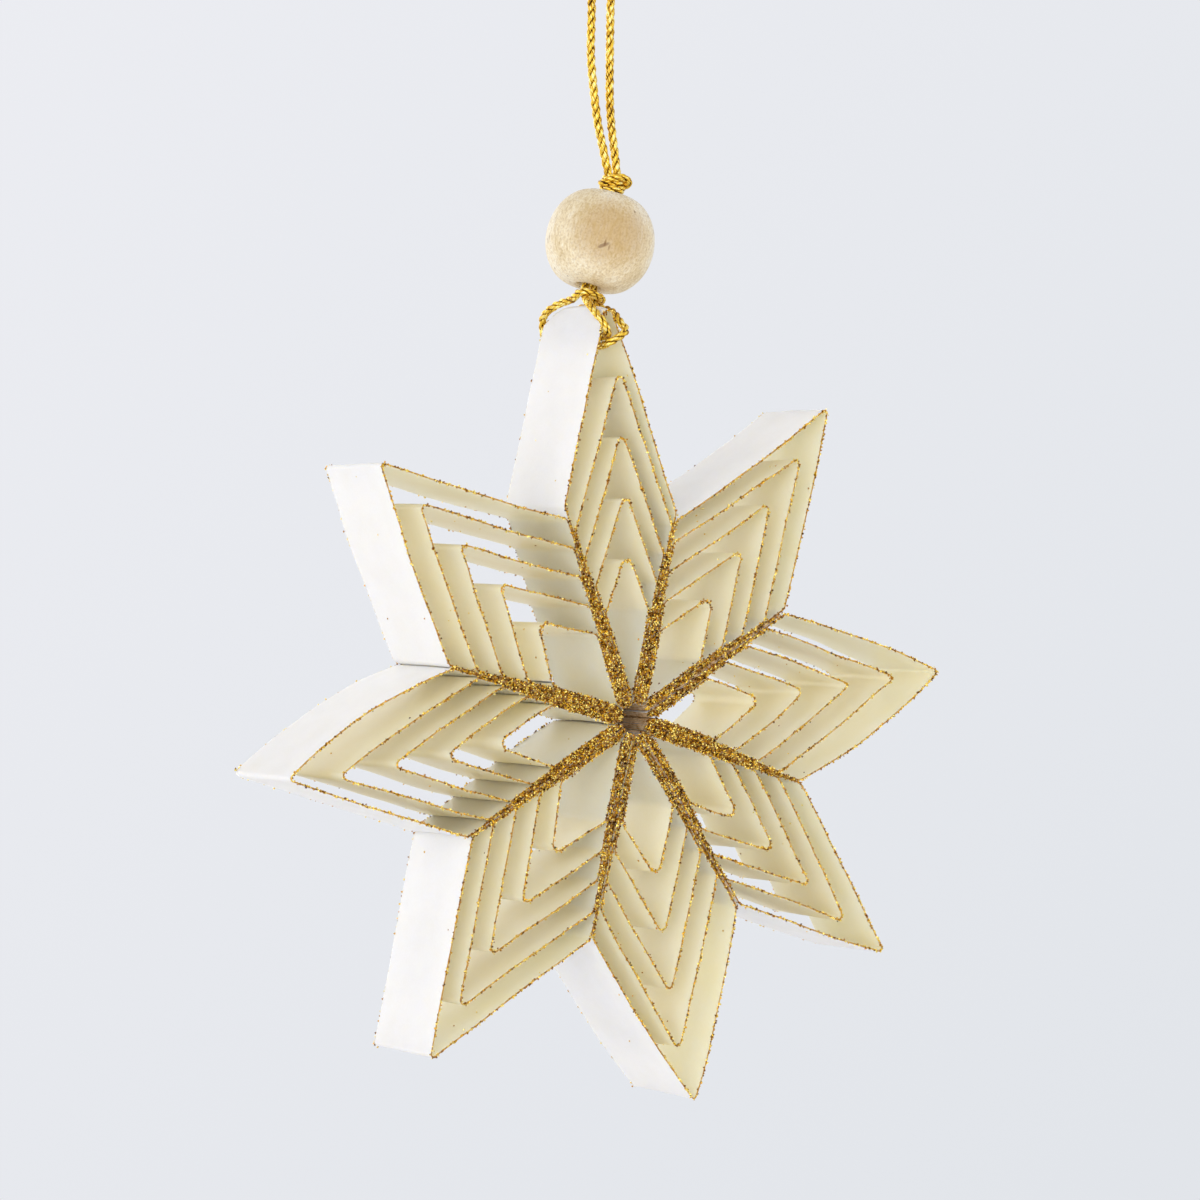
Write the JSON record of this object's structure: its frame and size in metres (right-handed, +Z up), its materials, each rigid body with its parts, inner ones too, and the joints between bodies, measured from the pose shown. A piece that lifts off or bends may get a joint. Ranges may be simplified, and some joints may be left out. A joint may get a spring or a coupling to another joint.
{
  "type": "hanging paper star ornament",
  "caption": "Hanging star ornament of nested folded paper strips in glitter-edged petals, slung by its top petal from a round wooden bead on a knotted metallic cord loop.",
  "frame": {"origin": "inner face of the cord loop's upper end, where it rests on its hook", "axes": "+Z up against gravity, -Y out of the star's front face, +X to the right as seen from the front"},
  "size_m": [0.1076, 0.017, 0.1614],
  "materials": {
    "white_paper": "matt, white outside, gold glitter along the front and back edges",
    "cream_paper": "matt, gold glitter along the front and back edges",
    "bead_wood": "bare sanded wood",
    "gold_cord": "metallic gold thread, two plies"
  },
  "bodies": {
    "hanging_loop": {"hanging_loop": "gold_cord"},
    "hitch": {"hanging_knot": "gold_cord", "hitch_cord": "gold_cord"},
    "bead": {"wooden_bead": "bead_wood"},
    "star": {"top_petal_strip_1": "white_paper", "top_petal_strip_2": "cream_paper", "top_petal_strip_3": "cream_paper", "top_petal_strip_4": "cream_paper", "top_petal_strip_5": "cream_paper", "upper_right_petal_strip_1": "white_paper", "upper_right_petal_strip_2": "cream_paper", "upper_right_petal_strip_3": "cream_paper", "upper_right_petal_strip_4": "cream_paper", "upper_right_petal_strip_5": "cream_paper", "right_petal_strip_1": "white_paper", "right_petal_strip_2": "cream_paper", "right_petal_strip_3": "cream_paper", "right_petal_strip_4": "cream_paper", "right_petal_strip_5": "cream_paper", "lower_right_petal_strip_1": "white_paper", "lower_right_petal_strip_2": "cream_paper", "lower_right_petal_strip_3": "cream_paper", "lower_right_petal_strip_4": "cream_paper", "lower_right_petal_strip_5": "cream_paper", "bottom_petal_strip_1": "white_paper", "bottom_petal_strip_2": "cream_paper", "bottom_petal_strip_3": "cream_paper", "bottom_petal_strip_4": "cream_paper", "bottom_petal_strip_5": "cream_paper", "lower_left_petal_strip_1": "white_paper", "lower_left_petal_strip_2": "cream_paper", "lower_left_petal_strip_3": "cream_paper", "lower_left_petal_strip_4": "cream_paper", "lower_left_petal_strip_5": "cream_paper", "left_petal_strip_1": "white_paper", "left_petal_strip_2": "cream_paper", "left_petal_strip_3": "cream_paper", "left_petal_strip_4": "cream_paper", "left_petal_strip_5": "cream_paper", "upper_left_petal_strip_1": "white_paper", "upper_left_petal_strip_2": "cream_paper", "upper_left_petal_strip_3": "cream_paper", "upper_left_petal_strip_4": "cream_paper", "upper_left_petal_strip_5": "cream_paper"}
  },
  "joints": [
    {"name": "ornament_twirl", "type": "hinge", "parent": "hanging_loop", "child": "hitch", "pos_m": [0, 0, 0], "axis": [0, 0, 1], "range_deg": [-180, 180]},
    {"name": "bead_spin", "type": "hinge", "parent": "hitch", "child": "bead", "pos_m": [-0.00045, 0, -0.0429], "axis": [0.3024, 0, 0.9532], "continuous": true},
    {"name": "star_swing", "type": "hinge", "parent": "hitch", "child": "star", "pos_m": [-0.0039, 0, -0.0568], "axis": [0, 1, 0], "range_deg": [-5, 5]}
  ]
}
